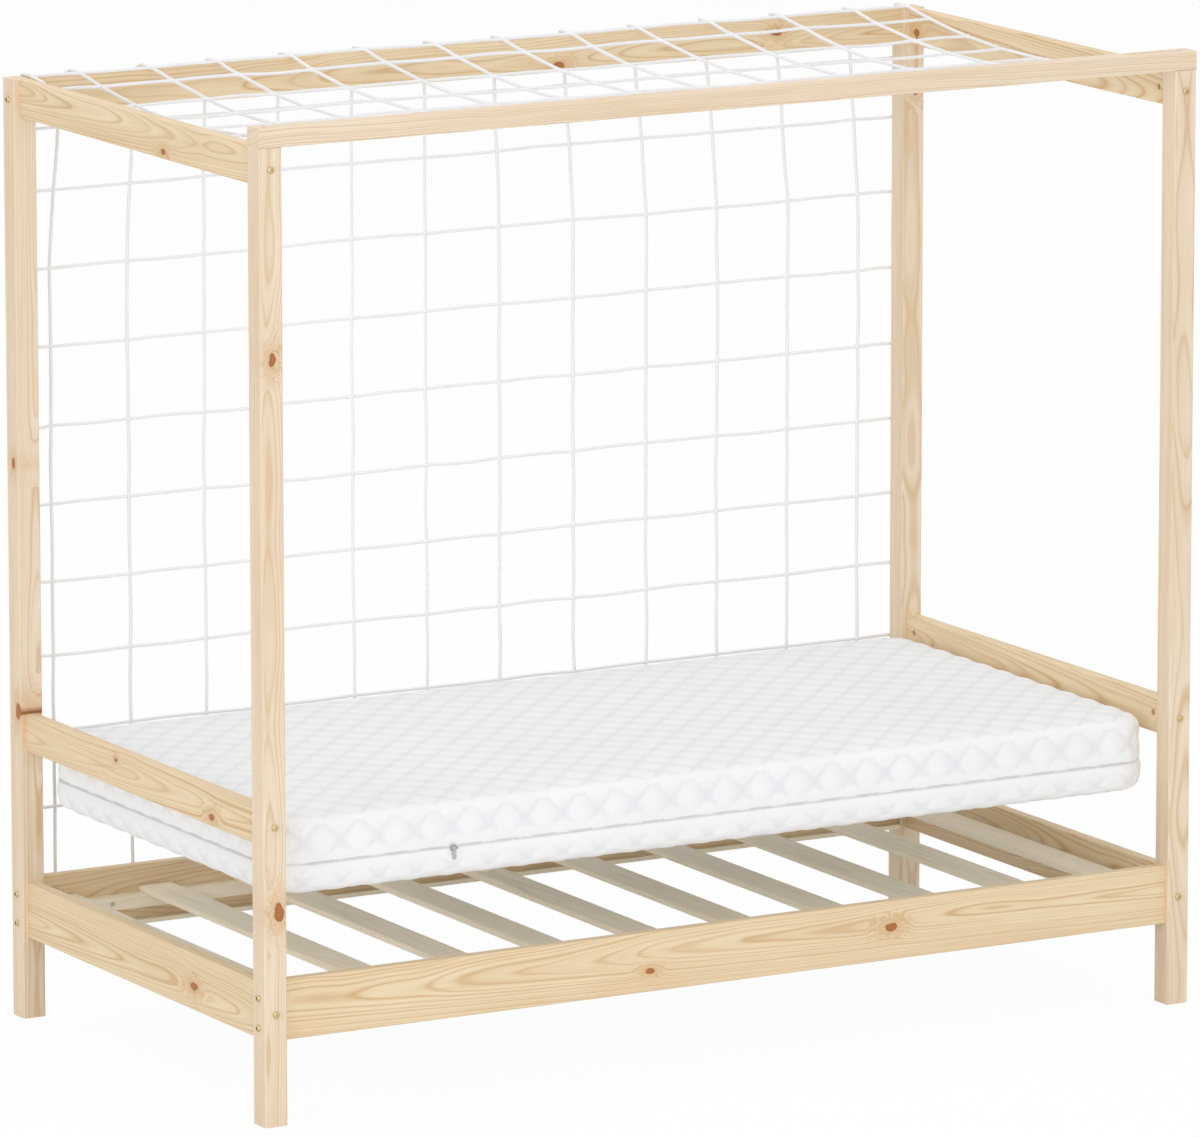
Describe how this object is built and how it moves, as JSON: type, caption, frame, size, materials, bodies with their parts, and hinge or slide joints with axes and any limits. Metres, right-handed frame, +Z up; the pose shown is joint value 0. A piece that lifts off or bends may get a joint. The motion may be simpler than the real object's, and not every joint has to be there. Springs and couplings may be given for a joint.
{
  "type": "house bed",
  "caption": "Child's canopy bed like a small goal: pine posts and rails, a slatted base, a rope net over the back and top, and a zipped foam mattress.",
  "frame": {"origin": "on the floor, under the middle of the bed", "axes": "+X along the bed, from its left end to its right end; +Y towards the netted back, so the open front faces -Y; +Z up"},
  "size_m": [1.681, 0.8783, 1.544],
  "materials": {
    "post_pine": "smooth bare pine, clear satin lacquer",
    "rail_pine": "smooth bare pine, clear satin lacquer",
    "slat_pine": "planed bare pine",
    "dowel_beech": "fluted beech",
    "bolt_steel": "yellow zinc plate on steel, satin",
    "screw_steel": "yellow zinc plate, satin",
    "hook_steel": "white enamel",
    "net_cord": "white braided polyester cord",
    "cover_fabric": "white quilted knit",
    "core_foam": "open-cell foam",
    "zip_tape": "white woven tape with nylon teeth",
    "zip_metal": "bright nickel"
  },
  "bodies": {
    "frame": {"post_front_left": "post_pine", "post_front_right": "post_pine", "post_back_left": "post_pine", "post_back_right": "post_pine", "crossbar_front": "post_pine", "end_rail_bottom_left": "rail_pine", "end_rail_bottom_right": "rail_pine", "end_rail_middle_left": "rail_pine", "end_rail_middle_right": "rail_pine", "end_rail_top_left": "rail_pine", "end_rail_top_right": "rail_pine", "side_rail_front": "rail_pine", "side_rail_back": "rail_pine", "side_rail_lath": "slat_pine", "rail_top_back": "rail_pine", "slat_cleat_front": "slat_pine", "slat_cleat_back": "slat_pine", "slat_01": "slat_pine", "slat_02": "slat_pine", "slat_03": "slat_pine", "slat_04": "slat_pine", "slat_05": "slat_pine", "slat_06": "slat_pine", "slat_07": "slat_pine", "slat_08": "slat_pine", "slat_09": "slat_pine", "slat_10": "slat_pine", "end_rail_bolts": "bolt_steel", "side_rail_bolts": "bolt_steel", "back_rail_bolts": "bolt_steel", "end_rail_nuts": "bolt_steel", "side_rail_nuts": "bolt_steel", "back_rail_nuts": "bolt_steel", "crossbar_dowels": "dowel_beech", "crossbar_screws": "screw_steel", "cleat_screws": "screw_steel", "slat_screws": "screw_steel", "net_hooks": "hook_steel", "net_top": "net_cord", "net_back": "net_cord"},
    "mattress": {"mattress_core": "core_foam", "mattress_cover_upper": "cover_fabric", "mattress_cover_lower": "cover_fabric", "mattress_zip": "zip_tape"},
    "zip_slider": {"zip_slider": "zip_metal"},
    "zip_pull": {"zip_pull": "zip_metal"}
  },
  "joints": [
    {"name": "mattress_lift", "type": "slide", "parent": "frame", "child": "mattress", "axis": [0, 0, 1], "range_m": [-0.1525, 0.25]},
    {"name": "zip_slide", "type": "slide", "parent": "mattress", "child": "zip_slider", "axis": [1, 0, 0], "range_m": [-0.22, 1.2]},
    {"name": "zip_pull_swing", "type": "hinge", "parent": "zip_slider", "child": "zip_pull", "pos_m": [-0.4875, -0.4001, 0.395], "axis": [-1, 0, 0], "range_deg": [0, 150]}
  ]
}
